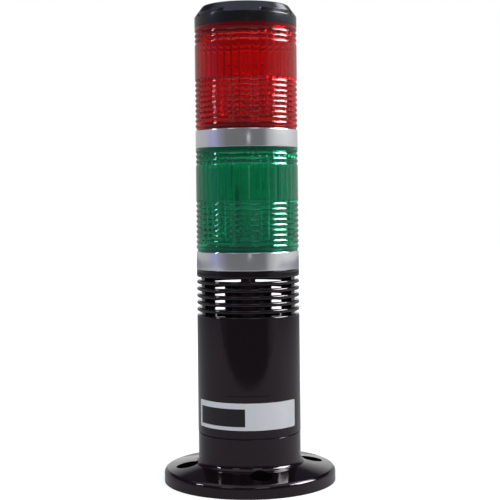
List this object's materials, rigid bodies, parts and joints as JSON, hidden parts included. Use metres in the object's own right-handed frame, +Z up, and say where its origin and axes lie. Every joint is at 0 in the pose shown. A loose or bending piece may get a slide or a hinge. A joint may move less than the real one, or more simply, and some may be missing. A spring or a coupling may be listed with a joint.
{
  "type": "stack light",
  "caption": "Round signal tower with ribbed red and green lenses, metal rings, a slotted sounder housing, a screw cap and a round mounting flange.",
  "frame": {"origin": "centre of the flange's underside, on the tower's axis", "axes": "+Z up along the tower; -Y is the label side of the housing"},
  "size_m": [0.1, 0.1, 0.2764],
  "materials": {
    "black_abs": "gloss moulded ABS",
    "inner_abs": "satin moulded ABS",
    "anodised_ring": "satin anodised",
    "red_lens": "clear gloss polycarbonate, red",
    "green_lens": "clear gloss polycarbonate, green",
    "bulb": "clear glass bulb with a metal cap",
    "plated_steel": "zinc plated",
    "holder_shell": "nickel plated brass",
    "holder_base": "phenolic",
    "seal": "matt nitrile rubber",
    "board": "glass-epoxy board",
    "terminal": "moulded nylon",
    "capacitor": "sleeved can",
    "green_lead": "PVC insulation",
    "red_lead": "PVC insulation"
  },
  "bodies": {
    "tower": {"base_flange": "black_abs", "cable_grommet": "seal", "housing": "black_abs", "sounder_carrier": "inner_abs", "sounder": "inner_abs", "control_board": "board", "terminal_block": "terminal", "capacitor": "capacitor", "sounder_lead": "red_lead", "green_lead": "green_lead", "red_lead": "red_lead", "top_plate": "inner_abs", "top_plate_seal": "seal", "board_screw_1": "plated_steel", "board_screw_2": "plated_steel", "left_sounder_screw": "plated_steel", "right_sounder_screw": "plated_steel", "green_ring": "anodised_ring", "green_lamp_plate": "inner_abs", "green_lamp_holder": "holder_base", "green_lamp_shell": "holder_shell", "green_lamp": "bulb", "green_lens": "green_lens", "green_plate_seal": "seal", "green_lens_seal": "seal", "red_ring": "anodised_ring", "red_lamp_plate": "inner_abs", "red_lamp_holder": "holder_base", "red_lamp_shell": "holder_shell", "red_lamp": "bulb", "red_lens": "red_lens", "red_plate_seal": "seal", "red_lens_seal": "seal", "left_tie_rod": "plated_steel", "left_lower_washer": "plated_steel", "left_lower_nut": "plated_steel", "left_upper_washer": "plated_steel", "left_upper_nut": "plated_steel", "right_tie_rod": "plated_steel", "right_lower_washer": "plated_steel", "right_lower_nut": "plated_steel", "right_upper_washer": "plated_steel", "right_upper_nut": "plated_steel"},
    "cap_seal": {"cap_seal": "seal"},
    "cap": {"top_cap": "black_abs"}
  },
  "joints": [
    {"name": "cap_rise", "type": "slide", "parent": "tower", "child": "cap_seal", "axis": [0, 0, 1], "range_m": [0, 0.004]},
    {"name": "cap_turn", "type": "hinge", "parent": "cap_seal", "child": "cap", "pos_m": [0, 0, 0.264], "axis": [0, 0, 1], "range_deg": [0, 360]}
  ],
  "couplings": [
    {"joint": "cap_rise", "follows": "cap_turn", "m_per_rad": 0.00063661}
  ]
}
